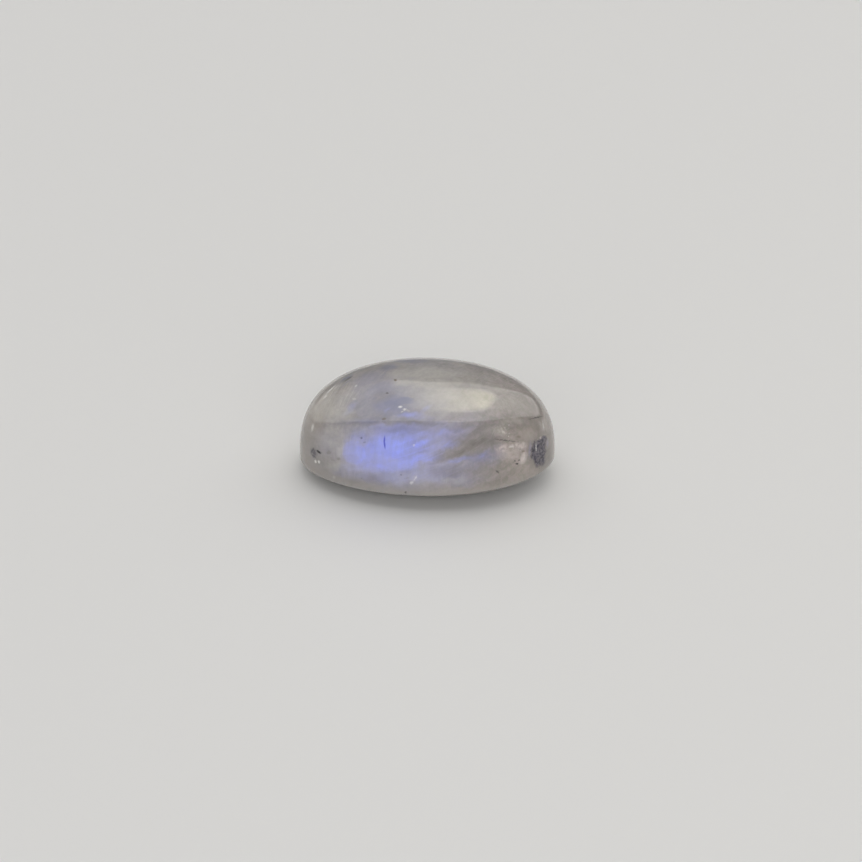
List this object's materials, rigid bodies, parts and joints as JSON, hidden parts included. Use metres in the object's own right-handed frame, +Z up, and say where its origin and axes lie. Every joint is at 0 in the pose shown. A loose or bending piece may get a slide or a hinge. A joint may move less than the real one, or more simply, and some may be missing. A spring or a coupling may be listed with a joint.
{
  "type": "polished moonstone cabochon",
  "caption": "Oval high-domed moonstone cabochon, polished, with a shallow convex back and a small flat spot that it rests on.",
  "frame": {"origin": "middle of the small flat spot that the stone rests on, at the bottom centre of its box", "axes": "+X along the stone's length towards its slightly broader end, +Y across its width, +Z up through the top of the dome"},
  "size_m": [0.014, 0.01, 0.0059],
  "materials": {
    "polished_moonstone": "glossy polish, milky and translucent, with a blue sheen inside"
  },
  "bodies": {
    "root": {"moonstone": "polished_moonstone"}
  },
  "joints": []
}
